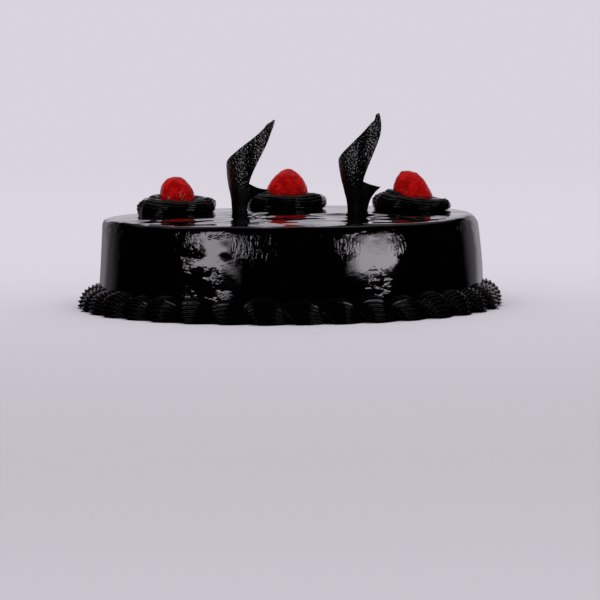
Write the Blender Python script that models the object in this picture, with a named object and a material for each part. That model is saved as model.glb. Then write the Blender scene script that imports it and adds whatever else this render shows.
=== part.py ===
"""A round chocolate cake: a glazed body, a ring of piped shells round its foot, and on its top three piped
nests that each hold a cherry, with two rolled chocolate sails between them.

Metres, +Z up. The origin is on the surface the cake stands on, under its middle. The cake is seen from -Y.
"""

import math

import bmesh
import bpy
from mathutils import Vector, noise

# The glazed body
WALL_RADIUS = 0.1032
WALL_TAPER = 0.0024  # how far the wall leans in between the foot and the shoulder
WALL_TAPER_POWER = 1.8  # above 1, most of the taper is high on the wall
WALL_WAVES = ((2, 0.00030, 0.7), (4, 0.00022, 2.1))  # waves round the wall: how many, how deep, turned by
SHOULDER_HEIGHT = 0.0420
RIM_HEIGHT = 0.0485
FLAT_RADIUS = 0.0940  # where the rounded shoulder ends and the top begins
CROWN_RISE = 0.0018  # the middle of the top above its rim
TOP_LEAN = 0.010  # the cake is a little taller towards +X, as a rise per length
BODY_SIDES = 96
WALL_LEVELS = (0, 0.35, 0.7, 1)  # rings of the wall, as shares of the shoulder's height
SHOULDER_TURNS = (35, 65, 90)  # rings of the shoulder, in degrees round its quarter turn
TOP_RINGS = (0.6, 0.15)  # rings of the top, as shares of its radius

# The shells piped round the foot
SHELL_COUNT = 36
SHELL_WIDTH = 0.0103  # how far a shell stands out from the wall
SHELL_HEIGHT = 0.0124
SHELL_MIDDLE = 0.12  # the height of a section's middle, as a share of the shell's height
SHELL_ARC = (94, -8)  # the section runs between these angles round its middle, in degrees
SHELL_STATIONS = 5
SHELL_RIDGES = 7
SHELL_RIDGE_DEPTH = 0.0008
SHELL_HEAD = 0.24  # a shell is fullest this share along its length
SHELL_NECK = 0.60  # the size of the thin end of a shell, as a share of its head
SHELL_VARIATION = 0.045  # how much one shell differs from the next, as a share of its size

# The piped nests
NEST_RADIUS = 0.0149  # from a nest's middle to the middle of its rope
ROPE_HALF_WIDTH = 0.0062
ROPE_HALF_HEIGHT = 0.54  # as a share of the crest's height
ROPE_WAVE = 0.03  # how much the crest rises and falls round the nest, as a share of its height
ROPE_RIDGES = 9
ROPE_RIDGE_DEPTH = 0.0010
NEST_STATIONS = 20
CURL_RADIUS = 0.0036
CURL_RISE = 0.0013  # how far the upper stretch of the rope tops the lower turn
CURL_INSET = 0.0030  # how far it runs inside the lower turn's middle
CURL_STATIONS = 12
CURL_TURN = math.radians(220)
CURL_TAIL = 0.7  # where the rope starts to thin into its tail, as a share of that turn
FLOOR_INSET = 0.0018
FLOOR_LEVELS = (0.0004, 0.0030)

# The cherries
CHERRY_SEAT = 0.0020  # a cherry's lowest point above the cake's top
CHERRY_SIDES = 16
CHERRY_LEVELS = 10
CHERRY_DENTS = 0.10  # the depth of the dents, as a share of the radius
CHERRY_DENT_SIZE = 0.0077
CHERRY_CUT_FLATNESS = 0.25  # how much of the dome is left above its cut

# The rolled sails
SAIL_THICKNESS = 0.0014
SAIL_COLUMNS = 18
SAIL_ROWS = 8
SAIL_FLARE = 0.55  # the share of its height over which a sail's roll widens
SAIL_SPRING = 0.0024  # how far the free corner behind a sail springs out of its roll
SAIL_SPRING_TURN = 50  # over how many degrees it does so

# Pieces that lie on or against each other keep this much air
GAP = 0.0003
CHERRY_GAP = 0.0004

SHARP_ANGLE = math.radians(50)


def cosine_ease(t):
    """From 0 to 1 with a level start and end."""
    t = min(max(t, 0.0), 1.0)
    return 0.5 - 0.5 * math.cos(math.pi * t)


def between(a, b, t):
    return a + (b - a) * t


def material(name, colour, roughness):
    """A Principled BSDF of one colour and roughness."""
    made = bpy.data.materials.new(name)
    made.use_nodes = True
    made.diffuse_color = (*colour, 1.0)
    shader = made.node_tree.nodes["Principled BSDF"]
    shader.inputs["Base Color"].default_value = (*colour, 1.0)
    shader.inputs["Roughness"].default_value = roughness
    shader.inputs["Metallic"].default_value = 0.0
    return made


def loft(name, rings, finish, ends="caps"):
    """One closed skin over rings of points.

    Its two ends are caps, or strips that close a long thin ring straight across, or else they are joined.
    """
    shape = bmesh.new()
    rows = [[shape.verts.new(point) for point in ring] for ring in rings]
    sides = len(rows[0])
    pairs = list(zip(rows, rows[1:]))
    if ends == "joined":
        pairs.append((rows[-1], rows[0]))
    for near, far in pairs:
        for i in range(sides):
            j = (i + 1) % sides
            shape.faces.new((near[i], near[j], far[j], far[i]))
    if ends == "caps":
        for row in (rows[0], rows[-1]):
            shape.faces.new(row)
    if ends == "strips":
        for row in (rows[0], rows[-1]):
            for i in range(sides // 2 - 1):
                shape.faces.new((row[i], row[i + 1], row[sides - 2 - i], row[sides - 1 - i]))
    bmesh.ops.recalc_face_normals(shape, faces=shape.faces)
    mesh = bpy.data.meshes.new(name)
    shape.to_mesh(mesh)
    shape.free()
    mesh.shade_smooth()
    mesh.set_sharp_from_angle(angle=SHARP_ANGLE)
    mesh.materials.append(finish)
    made = bpy.data.objects.new(name, mesh)
    bpy.context.scene.collection.objects.link(made)
    return made


# The cake's own surface


def lean(x, z):
    """A height on the cake, once the whole cake leans: nothing at the foot, all of it at the rim."""
    return z * (1 + TOP_LEAN * x / RIM_HEIGHT)


def wall_radius(angle, z):
    """The wall's radius under the shoulder, uneven as a hand-spread wall is."""
    t = min(z / SHOULDER_HEIGHT, 1.0)
    uneven = sum(depth * math.sin(waves * angle + turned) for waves, depth, turned in WALL_WAVES)
    return WALL_RADIUS - WALL_TAPER * t**WALL_TAPER_POWER + uneven * (1 + t) / 2


def crown_height(r):
    """The height of the top at a radius, before the lean."""
    return RIM_HEIGHT + CROWN_RISE * (1 - (r / FLAT_RADIUS) ** 2)


def top_height(x, y):
    """The height of the cake's top, inside the shoulder."""
    return lean(x, crown_height(math.hypot(x, y)))


def cake_body(finish):
    """The wall, the rounded shoulder and the crowned top, as rings from the foot to the middle."""

    def wall_ring(z):
        return [(wall_radius(a, z), z) for a in angles]

    def shoulder_ring(turn):
        """A ring of a quarter of an ellipse, from the top of the wall in to the flat of the top."""
        z = SHOULDER_HEIGHT + (RIM_HEIGHT - SHOULDER_HEIGHT) * math.sin(turn)
        return [(between(FLAT_RADIUS, wall_radius(a, SHOULDER_HEIGHT), math.cos(turn)), z) for a in angles]

    def top_ring(r):
        return [(r, crown_height(r)) for _ in angles]

    angles = [2 * math.pi * i / BODY_SIDES for i in range(BODY_SIDES)]
    rings = [wall_ring(SHOULDER_HEIGHT * level) for level in WALL_LEVELS]
    rings += [shoulder_ring(math.radians(turn)) for turn in SHOULDER_TURNS]
    rings += [top_ring(FLAT_RADIUS * share) for share in TOP_RINGS]
    placed = []
    for ring in rings:
        points = [(r * math.cos(a), r * math.sin(a), z) for a, (r, z) in zip(angles, ring)]
        placed.append([(x, y, lean(x, z)) for x, y, z in points])
    return loft("cake_body", placed, finish)


# The piped border


def shell_swell(along):
    """How full a shell is along its length: it swells quickly into its head and thins slowly to its tail."""
    if along < SHELL_HEAD:
        return cosine_ease(along / SHELL_HEAD)
    return 1 - cosine_ease((along - SHELL_HEAD) / (1 - SHELL_HEAD))


def shell_section(angle):
    """The border's cross-section at one place, down its ridged outside from the wall to the floor.

    It is a quarter of a circle round the foot of the wall. A half turn of the ring repeats the same shells.
    """
    place = angle / (2 * math.pi) * SHELL_COUNT
    number, along = divmod(place, 1.0)
    swell = shell_swell(along)
    size = 1 + SHELL_VARIATION * math.sin(2.4 * (number % (SHELL_COUNT // 2)) + 1)
    size *= between(SHELL_NECK, 1, swell)
    depth = SHELL_RIDGE_DEPTH * size * (1 + swell) / 2
    middle = SHELL_MIDDLE * SHELL_HEIGHT * size
    first, last = SHELL_ARC
    steps = 2 * SHELL_RIDGES
    points = []
    for step in range(steps):
        turn = math.radians(between(first, last, step / (steps - 1)))
        push = -depth if step % 2 else depth
        out = (SHELL_WIDTH * size + push) * math.cos(turn)
        up = middle + (SHELL_HEIGHT * size - middle + push) * math.sin(turn)
        points.append((max(out, 0.0), up))
    points[-1] = (points[-1][0], 0.0)
    return points + [(0.0, 0.0)]


def shell_border(finish):
    """All the shells as one ring, which leans on the wall all the way round."""
    rings = []
    for i in range(SHELL_COUNT * SHELL_STATIONS):
        angle = 2 * math.pi * i / (SHELL_COUNT * SHELL_STATIONS)
        ring = []
        for out, up in shell_section(angle):
            r = wall_radius(angle, up) + GAP + out
            x = r * math.cos(angle)
            ring.append((x, r * math.sin(angle), lean(x, up)))
        rings.append(ring)
    return loft("shell_border", rings, finish, ends="joined")


# The nests and the cherries


class Nest:
    """One piped nest: where it stands, and how its rope rises towards one side."""

    def __init__(self, place, high_side, crest, rise):
        self.place = place
        self.high_side = math.radians(high_side)
        self.crest = crest
        self.rise = rise

    def crest_at(self, angle):
        """The height of the lower turn above the cake's top."""
        return self.crest + self.rise * math.cos(angle - self.high_side)


def rope_section(middle, across, half_width, half_height, turned):
    """A ridged, flattened circle round a point of the rope, never lower than the cake's top."""
    points = []
    corners = 2 * ROPE_RIDGES
    for i in range(corners):
        turn = 2 * math.pi * i / corners + turned
        push = ROPE_RIDGE_DEPTH / 2 * (1 if i % 2 else -1) * half_width / ROPE_HALF_WIDTH
        side = (half_width + push) * math.cos(turn)
        up = (half_height + push) * math.sin(turn)
        points.append(middle + across * side + Vector((0, 0, up)))
    return [Vector((p.x, p.y, max(p.z, 0.0))) for p in points]


def nest_ring(name, nest, finish):
    """The closed lower turn of a nest's rope."""
    rings = []
    for i in range(NEST_STATIONS):
        a = 2 * math.pi * i / NEST_STATIONS
        across = Vector((math.cos(a), math.sin(a), 0))
        crest = nest.crest_at(a) * (1 + ROPE_WAVE * math.sin(3 * a + nest.high_side))
        half_height = ROPE_HALF_HEIGHT * crest
        middle = across * NEST_RADIUS + Vector((0, 0, crest - half_height))
        rings.append(rope_section(middle, across, ROPE_HALF_WIDTH, half_height, 0.1))
    return loft(name + "_ring", rings, finish, ends="joined")


def nest_curl(name, nest, finish):
    """The rope's upper stretch, which climbs from the lower turn, runs inside its crest and ends in a tail."""
    rings = []
    for i in range(CURL_STATIONS):
        t = i / (CURL_STATIONS - 1)
        a = nest.high_side + CURL_TURN * (t - 0.5)
        across = Vector((math.cos(a), math.sin(a), 0))
        start = between(0.5, 1, cosine_ease(t * 3))
        tail = between(1, 0.3, cosine_ease((t - CURL_TAIL) / (1 - CURL_TAIL)))
        size = CURL_RADIUS * start * tail
        reach = NEST_RADIUS - CURL_INSET * cosine_ease(t * 1.6)
        up = nest.crest_at(a) + CURL_RISE * cosine_ease(t * 2.5) - size
        middle = across * reach + Vector((0, 0, up))
        rings.append(rope_section(middle, across, size, size, 0.37))
    return loft(name + "_curl", rings, finish)


def nest_floor(name, finish):
    """The thin floor of piping inside the ring, a little clear of the cake's top."""
    reach = NEST_RADIUS - FLOOR_INSET
    sides = NEST_STATIONS // 2
    turns = [2 * math.pi * i / sides for i in range(sides)]
    rings = [[(reach * math.cos(a), reach * math.sin(a), z) for a in turns] for z in FLOOR_LEVELS]
    return loft(name + "_floor", rings, finish)


class Cherry:
    """One candied cherry, a dome over a rounded foot.

    Below its widest level it is half an ellipsoid. Above, it narrows as a superellipse: a power of 2 is
    round, and a lower one is more pointed. Its top is cut at a slant and shifted sideways, and its skin is
    dented.
    """

    def __init__(self, radius, widest, top, power, cut, slant, shift, seed):
        self.radius = radius
        self.widest = widest
        self.dome = (top - widest) / cut
        self.power = power
        self.cut = cut
        self.slant = slant
        self.shift = shift
        self.seed = seed

    def point(self, around, down, grown):
        """A point of the skin, from around and down, its angle from the top."""
        if down > math.pi / 2:
            r = self.radius * math.sin(down)
            z = self.widest + (self.widest - CHERRY_SEAT) * math.cos(down)
        else:
            r = self.radius * math.sin(down) ** (2 / self.power)
            z = self.widest + self.dome * math.cos(down) ** (2 / self.power)
        x, y = r * math.cos(around), r * math.sin(around)
        dent = noise.noise(Vector((x, y, z)) / CHERRY_DENT_SIZE + Vector((self.seed, 0, 0)))
        stretch = 1 + CHERRY_DENTS * dent
        ceiling = self.widest + self.dome * self.cut - self.slant * x
        if z > ceiling:
            z = ceiling + CHERRY_CUT_FLATNESS * (z - ceiling)
        rise = max(z - self.widest, 0.0) / self.dome
        way = Vector((x * stretch + self.shift * rise, y * stretch, z - self.widest))
        return way * (1 + grown / way.length) + Vector((0, 0, self.widest))


def cherry_solid(name, fruit, finish, grown=0.0):
    """A cherry over the origin, as it stands in its nest. Grown, it is the hollow that its nest is given."""
    rings = []
    for level in range(1, CHERRY_LEVELS + 1):
        down = math.pi * (level - 0.5) / CHERRY_LEVELS
        rings.append([fruit.point(2 * math.pi * i / CHERRY_SIDES, down, grown) for i in range(CHERRY_SIDES)])
    return loft(name, rings, finish)


def set_on_top(made, place):
    """Puts a piece modelled over the origin on the cake's top, every point as high as the cake is under it."""
    x0, y0 = place
    for vertex in made.data.vertices:
        x, y = vertex.co.x + x0, vertex.co.y + y0
        vertex.co.z += top_height(x, y) + GAP - top_height(x0, y0)
    made.location = (x0, y0, top_height(x0, y0))


def joined(name, pieces, hollow, finish):
    """The pieces as one solid, with the hollow taken out of it. The pieces are removed."""
    group = bpy.data.collections.new(name + "_pieces")
    for piece in pieces[1:]:
        bpy.context.scene.collection.objects.unlink(piece)
        group.objects.link(piece)
    whole = pieces[0]
    union = whole.modifiers.new("join", "BOOLEAN")
    union.operation = "UNION"
    union.operand_type = "COLLECTION"
    union.collection = group
    cut = whole.modifiers.new("hollow", "BOOLEAN")
    cut.operation = "DIFFERENCE"
    cut.object = hollow
    bpy.context.view_layer.update()
    solid = whole.evaluated_get(bpy.context.evaluated_depsgraph_get())
    mesh = bpy.data.meshes.new_from_object(solid)
    made = bpy.data.objects.new(name, mesh)
    mesh.name = name
    mesh.materials.clear()
    mesh.materials.append(finish)
    bpy.context.scene.collection.objects.link(made)
    for piece in pieces + [hollow]:
        bpy.data.objects.remove(piece)
    bpy.data.collections.remove(group)
    return made


def nest_with_cherry(side, nest, fruit, piping, flesh):
    """One piped nest and the cherry pressed into it, on the cake's top."""
    name = "nest_" + side
    pieces = [nest_ring(name, nest, piping), nest_curl(name, nest, piping), nest_floor(name, piping)]
    hollow = cherry_solid(name + "_hollow", fruit, flesh, grown=CHERRY_GAP)
    set_on_top(joined(name, pieces, hollow, piping), nest.place)
    set_on_top(cherry_solid("cherry_" + side, fruit, flesh), nest.place)


# The rolled sails


def smooth_path(points, t):
    """A point on a smooth curve through the points, evenly shared between them from t = 0 to 1."""
    spans = len(points) - 1
    span = min(int(t * spans), spans - 1)
    u = t * spans - span
    result = []
    for k in range(len(points[0])):
        p = [points[min(max(span + step, 0), spans)][k] for step in (-1, 0, 1, 2)]
        pull_in, pull_out = (p[2] - p[0]) / 2, (p[3] - p[1]) / 2
        rest = p[2] - p[1]
        result.append(p[1] + pull_in * u + (3 * rest - 2 * pull_in - pull_out) * u**2
                      + (pull_in + pull_out - 2 * rest) * u**3)
    return result


class Sail:
    """One rolled sheet of chocolate.

    The flat sheet is a triangle with its foot cut off. Its edges are given by points of (angle round the
    roll in degrees, share of the height): front and back from the foot up, and top from the back corner to
    the tip. Angle 0 faces the viewer, and negative angles run to the left and on round the back.
    """

    def __init__(self, place, foot_radius, roll_radius, height, front, back, top):
        self.place = place
        self.foot_radius = foot_radius
        self.roll_radius = roll_radius
        self.height = height
        self.front = front
        self.back = back
        self.top = top

    def sheet_point(self, s, t):
        """A point of the flat sheet, s from its back edge to its front edge and t from foot to top.

        It is a Coons patch, which fills a sheet smoothly between its four edges. The foot is straight.
        """
        front, back, top = smooth_path(self.front, t), smooth_path(self.back, t), smooth_path(self.top, s)
        point = []
        for k in (0, 1):
            chord = between(self.top[0][k], self.top[-1][k], s)
            point.append(between(back[k], front[k], s) + (top[k] - chord) * t)
        return point

    def roll_point(self, s, t, side):
        """The same point on the rolled sheet, side of its middle by half its thickness."""
        angle, share = self.sheet_point(s, t)
        radius = between(self.foot_radius, self.roll_radius, cosine_ease(share / SAIL_FLARE))
        radius += SAIL_SPRING * cosine_ease((-180 - angle) / SAIL_SPRING_TURN) + side * SAIL_THICKNESS / 2
        way = math.radians(angle)
        x = self.place[0] + radius * math.sin(way)
        y = self.place[1] - radius * math.cos(way)
        return x, y, share * self.height + top_height(x, y) + GAP


def sail_solid(name, sheet, finish):
    """A sail as a thin closed solid."""
    rings = []
    for column in range(SAIL_COLUMNS + 1):
        s = column / SAIL_COLUMNS
        outside = [sheet.roll_point(s, row / SAIL_ROWS, 1) for row in range(SAIL_ROWS + 1)]
        inside = [sheet.roll_point(s, row / SAIL_ROWS, -1) for row in range(SAIL_ROWS, -1, -1)]
        rings.append(outside + inside)
    return loft(name, rings, finish, ends="strips")


NESTS = {
    "left": Nest((-0.0611, 0.0080), high_side=105, crest=0.0087, rise=0.0009),
    "middle": Nest((-0.0013, 0.0370), high_side=150, crest=0.0084, rise=0.0003),
    "right": Nest((0.0666, 0.0200), high_side=170, crest=0.0079, rise=0.0018),
}

CHERRIES = {
    "left": Cherry(0.0092, 0.0084, 0.0202, power=2.0, cut=0.97, slant=0.10, shift=-0.0009, seed=3),
    "middle": Cherry(0.0110, 0.0080, 0.0218, power=1.7, cut=0.99, slant=0.0, shift=0.0008, seed=7),
    "right": Cherry(0.0108, 0.0076, 0.0205, power=1.5, cut=0.84, slant=0.14, shift=-0.0022, seed=11),
}

SAILS = {
    "left": Sail(
        (-0.0207, -0.0020), 0.0097, 0.0125, 0.0500,
        front=[(-15, 0), (-5, 0.31), (14, 0.52), (45, 0.776), (70, 1)],
        back=[(-165, 0), (-172, 0.11), (-198, 0.19), (-230, 0.235)],
        top=[(-230, 0.235), (-187, 0.268), (-90, 0.526), (-42, 0.646), (-4, 0.77), (33, 0.883),
             (57, 0.975), (70, 1)],
    ),
    "right": Sail(
        (0.0391, -0.0030), 0.0074, 0.0121, 0.0530,
        front=[(-13, 0), (0, 0.30), (20, 0.53), (47, 0.76), (53, 0.88), (46, 1)],
        back=[(-192, 0), (-196, 0.11), (-216, 0.19), (-237, 0.24)],
        top=[(-237, 0.24), (-187, 0.28), (-90, 0.508), (-44, 0.63), (-8, 0.765), (25, 0.89),
             (36, 0.975), (46, 1)],
    ),
}


def main():
    for old in list(bpy.data.objects):
        bpy.data.objects.remove(old)

    glaze = material("chocolate_glaze", (0.010, 0.006, 0.005), 0.06)
    piping = material("piped_ganache", (0.012, 0.008, 0.006), 0.32)
    shard = material("chocolate_sheet", (0.012, 0.009, 0.008), 0.38)
    flesh = material("candied_cherry", (0.42, 0.010, 0.008), 0.18)

    cake_body(glaze)
    shell_border(piping)
    for side, nest in NESTS.items():
        nest_with_cherry(side, nest, CHERRIES[side], piping, flesh)
    for side, sheet in SAILS.items():
        sail_solid("sail_" + side, sheet, shard)


main()
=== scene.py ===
"""The looks of a round chocolate cake: mirror glaze, a piped shell border, three piped nests that each hold a
candied cherry, and two rolled sheets of chocolate that stand as sails between them.

Metres, +Z up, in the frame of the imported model. The camera looks along +Y.
"""

import math
from typing import NamedTuple

import bpy
import numpy as np
from mathutils import Matrix, Vector, noise


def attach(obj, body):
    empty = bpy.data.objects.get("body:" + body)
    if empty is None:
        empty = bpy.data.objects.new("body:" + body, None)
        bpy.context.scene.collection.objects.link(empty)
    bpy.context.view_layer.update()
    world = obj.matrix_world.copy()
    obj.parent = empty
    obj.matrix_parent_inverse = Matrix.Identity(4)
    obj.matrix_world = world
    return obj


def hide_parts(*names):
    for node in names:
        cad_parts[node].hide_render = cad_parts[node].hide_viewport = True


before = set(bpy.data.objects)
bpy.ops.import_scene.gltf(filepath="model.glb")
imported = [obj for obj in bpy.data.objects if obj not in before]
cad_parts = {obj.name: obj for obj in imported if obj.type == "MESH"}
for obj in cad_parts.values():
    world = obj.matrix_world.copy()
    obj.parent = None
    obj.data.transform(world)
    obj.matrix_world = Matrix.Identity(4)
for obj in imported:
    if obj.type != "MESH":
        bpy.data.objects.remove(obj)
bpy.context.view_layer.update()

bl_info = {
    "name": "Chocolate cake",
    "version": (1, 0, 0),
    "blender": (4, 5, 0),
    "location": "3D View > Sidebar > Cake",
    "description": "Builds a glazed chocolate cake with piped borders, nests, cherries and chocolate sails",
    "category": "Add Mesh",
}

BLACK = (0, 0, 0, 1)


# Numbers and curves


def ease(t):
    """From 0 to 1 with a level start and end, for a number or an array."""
    return 0.5 - 0.5 * np.cos(np.pi * np.clip(t, 0.0, 1.0))


def between(a, b, t):
    return a + (b - a) * t


def smooth_path(points, t):
    """Points of a smooth curve through the points, which share t = 0 to 1 evenly between them."""
    points = np.asarray(points, float)
    spans = len(points) - 1
    span = np.minimum((t * spans).astype(int), spans - 1)
    u = (t * spans - span)[..., None]
    p0, p1, p2, p3 = (points[np.clip(span + step, 0, spans)] for step in (-1, 0, 1, 2))
    pull_in, pull_out, rest = (p2 - p0) / 2, (p3 - p1) / 2, p2 - p1
    return p1 + pull_in * u + (3 * rest - 2 * pull_in - pull_out) * u**2 + (pull_in + pull_out - 2 * rest) * u**3


def grain(points, size, seed=0.0):
    """Smooth noise between about -1 and 1 at each point, with features of the given size."""
    flat = points.reshape(-1, 3) / size + seed
    return np.array([noise.noise(point) for point in flat.tolist()]).reshape(points.shape[:-1])


def ridges(turn, count):
    """A star nozzle's profile from 0 in a groove to 1 on a ridge: narrow ridges with round grooves between."""
    return (1 - np.abs(np.sin(turn * count / 2))) ** 0.75


# Meshes


def in_scene(name, data):
    """A new object of the scene for a mesh, a light or the camera."""
    made = bpy.data.objects.new(name, data)
    bpy.context.scene.collection.objects.link(made)
    return made


def shape(name, points, faces, finish):
    """A smooth-shaded mesh object, with its faces turned outward by their order."""
    mesh = bpy.data.meshes.new(name)
    mesh.from_pydata(np.asarray(points).tolist(), [], faces)
    mesh.validate()
    mesh.shade_smooth()
    mesh.materials.append(finish)
    return in_scene(name, mesh)


def joined(parts):
    """Several (points, faces) as one list of each."""
    points, faces, first = [], [], 0
    for part_points, part_faces in parts:
        points.append(part_points)
        faces += [[first + i for i in face] for face in part_faces]
        first += len(part_points)
    return np.concatenate(points), faces


def bands(rings):
    """The points' numbers ring by ring, and the four-sided faces between each ring and the next."""
    rows, columns = rings.shape[:2]
    number = np.arange(rows * columns).reshape(rows, columns)
    near, far = number[:-1], number[1:]
    quads = np.stack([near, np.roll(near, -1, axis=1), np.roll(far, -1, axis=1), far], axis=-1)
    return number, quads.reshape(-1, 4).tolist()


def tube(rings):
    """The points and faces of a closed skin over rings, with a fan over each end."""
    number, faces = bands(rings)
    points = np.concatenate([rings.reshape(-1, 3), [rings[0].mean(axis=0), rings[-1].mean(axis=0)]])
    for ring, middle, way in ((number[0], number.size, -1), (number[-1], number.size + 1, 1)):
        loop = ring.tolist()
        faces += [[a, b, middle][::way] for a, b in zip(loop, loop[1:] + loop[:1])]
    return points, faces


def thin_tube(rings):
    """The points and faces of a skin over long thin rings, closed at both ends by strips straight across."""
    number, faces = bands(rings)
    columns = number.shape[1]
    for ring, way in ((number[0].tolist(), -1), (number[-1].tolist(), 1)):
        for i in range(columns // 2 - 1):
            faces.append([ring[i], ring[i + 1], ring[columns - 2 - i], ring[columns - 1 - i]][::way])
    return rings.reshape(-1, 3), faces


def place_piece(piece, node):
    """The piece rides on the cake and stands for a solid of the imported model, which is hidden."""
    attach(piece, "root")
    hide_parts(node)


# Materials as expressions


class Value:
    """The output of a node. Arithmetic on it adds Math nodes to its tree."""

    def __init__(self, nodes, socket):
        self.nodes = nodes
        self.socket = socket

    def math(self, operation, first, second):
        return self.nodes.add("ShaderNodeMath", {"operation": operation}, {0: first, 1: second})

    def __add__(self, other):
        return self.math("ADD", self, other)

    def __sub__(self, other):
        return self.math("SUBTRACT", self, other)

    def __mul__(self, other):
        return self.math("MULTIPLY", self, other)

    def __pow__(self, other):
        return self.math("POWER", self, other)

    def __rsub__(self, other):
        return self.math("SUBTRACT", other, self)

    def __abs__(self):
        return self.math("ABSOLUTE", self, 0.0)

    __radd__ = __add__
    __rmul__ = __mul__


class Nodes:
    """The nodes of one material or of the world."""

    def __init__(self, tree):
        self.tree = tree

    def add(self, kind, settings=None, sockets=None, out=0):
        """A node of a kind. Its settings are set first, and then the values or links of its sockets."""
        node = self.tree.nodes.new(kind)
        for name, value in (settings or {}).items():
            setattr(node, name, value)
        for name, value in (sockets or {}).items():
            self.feed(node.inputs[name], value)
        return Value(self, node.outputs[out])

    def feed(self, socket, value):
        if isinstance(value, Value):
            self.tree.links.new(value.socket, socket)
        else:
            socket.default_value = value

    def noise(self, place, size, detail=2.0, out=0):
        """Noise from 0 to 1 with features of the given size in metres: one number, or three as a Color."""
        return self.add("ShaderNodeTexNoise", {}, {"Vector": place, "Scale": 1 / size, "Detail": detail}, out)

    def cells(self, place, size):
        """The distance to the middle of the nearest of cells of the given size, from 0 to about 1."""
        return self.add("ShaderNodeTexVoronoi", {}, {"Vector": place, "Scale": 1 / size})

    def axis(self, place, name):
        """One of the three coordinates of a place."""
        return self.add("ShaderNodeSeparateXYZ", {}, {0: place}, out=name)

    def vectors(self, operation, first, second, out=0):
        return self.add("ShaderNodeVectorMath", {"operation": operation}, {0: first, 1: second}, out)

    def stretched(self, place, factors):
        return self.vectors("MULTIPLY", place, factors)

    def step(self, value, low, high):
        """A smooth step from 0 at low to 1 at high."""
        settings = {"interpolation_type": "SMOOTHSTEP"}
        return self.add("ShaderNodeMapRange", settings, {"Value": value, "From Min": low, "From Max": high})

    def mix(self, factor, first, second):
        """A colour between two colours."""
        return self.add("ShaderNodeMix", {"data_type": "RGBA"}, {0: factor, 6: first, 7: second}, out=2)


class Finish(Nodes):
    """One procedural material around a Principled BSDF."""

    def __init__(self, name, **uniform):
        self.material = bpy.data.materials.new(name)
        self.material.use_nodes = True
        super().__init__(self.material.node_tree)
        self.shader = self.tree.nodes["Principled BSDF"]
        for socket, value in uniform.items():
            self.shader.inputs[socket.replace("_", " ")].default_value = value
        self.place = self.add("ShaderNodeTexCoord", out="Object")

    def vary(self, socket, value):
        self.feed(self.shader.inputs[socket], value)

    def spot(self, centre, reach):
        """1 near a point, fading to 0 at a distance."""
        away = self.vectors("DISTANCE", self.place, centre, out="Value")
        return 1 - self.step(away, 0.35 * reach, reach)

    def mottle(self, colour, size, light):
        """The base colour, darker and lighter in blotches of the given size."""
        tones = [rgba(Vector(colour) * share) for share in (0.6, light)]
        self.vary("Base Color", self.mix(self.noise(self.place, size), *tones))

    def glow(self, level, colour):
        """Light of a colour at a level from 0 to 1, and nothing reflected."""
        self.shader.inputs["Base Color"].default_value = BLACK
        self.vary("Emission Color", self.mix(level, BLACK, rgba(colour)))

    def relief(self, height_mm):
        """A bump whose height is given in millimetres."""
        sockets = {"Strength": 1.0, "Distance": 0.001, "Height": height_mm}
        self.vary("Normal", self.add("ShaderNodeBump", {}, sockets))


def rgba(colour):
    return (*colour, 1.0)


def wall_place(angle, height):
    """A place on the glazed wall: degrees from the side that faces the camera towards +X, and a height."""
    turn = math.radians(angle - 90)
    return (WALL_REACH * math.cos(turn), WALL_REACH * math.sin(turn), height)


def glaze_finish(looks):
    """Near-black mirror glaze: faint ripples, with fine runs below the rim and crumpled places lower down."""
    made = Finish("mirror_glaze", IOR=1.42)
    made.mottle(looks.glaze, 0.03, 1.5)
    made.vary("Roughness", 0.025 + 0.06 * made.noise(made.place, 0.012) ** 2)
    z = made.axis(made.place, "Z")
    wall = 1 - made.step(z, 0.0435, 0.0475)
    swirl = made.stretched(made.noise(made.place, 0.008, out="Color"), (0.0035, 0.0035, 0.0015))
    bent = made.vectors("ADD", made.place, swirl)
    runs = made.noise(made.stretched(bent, (1, 1, 0.16)), 0.0011)
    crumple = made.noise(made.stretched(bent, (1, 1, 2.0)), 0.0030) + 0.35 * made.noise(bent, 0.0011)
    run_places = made.step(made.noise(made.place, 0.022), 0.50, 0.66) * 0.4
    for angle, height, reach in GLAZE_RUNS:
        run_places = run_places + made.spot(wall_place(angle, height), reach)
    crumpled = made.step(made.noise(made.place, 0.016), 0.50, 0.68) * 0.2
    for angle, height, reach in GLAZE_CRUMPLES:
        crumpled = crumpled + made.spot(wall_place(angle, height), reach)
    faint = made.noise(made.place, 0.0040)
    upper = made.step(z, 0.022, 0.036)
    crumpled = crumpled + 0.8 * made.step(z, 0.0405, 0.0440)
    broken = 0.10 + made.step(made.noise(made.stretched(made.place, (1, 1, 1.6)), 0.0055), 0.46, 0.64)
    made.relief(wall * (0.03 * faint + 0.15 * crumpled * broken * crumple + 0.34 * upper * run_places * runs))
    return made.material


def piping_finish(looks):
    """Ganache with a wet sheen, a little rougher in patches and finely pitted."""
    made = Finish("piped_ganache_sheen", IOR=1.45, Specular_IOR_Level=0.17)
    made.mottle(looks.piping, 0.006, 1.5)
    made.vary("Roughness", 0.06 + 0.10 * made.noise(made.place, 0.003))
    made.relief(0.07 * made.noise(made.place, 0.0016) + 0.020 * made.noise(made.place, 0.0006))
    return made.material


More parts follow.
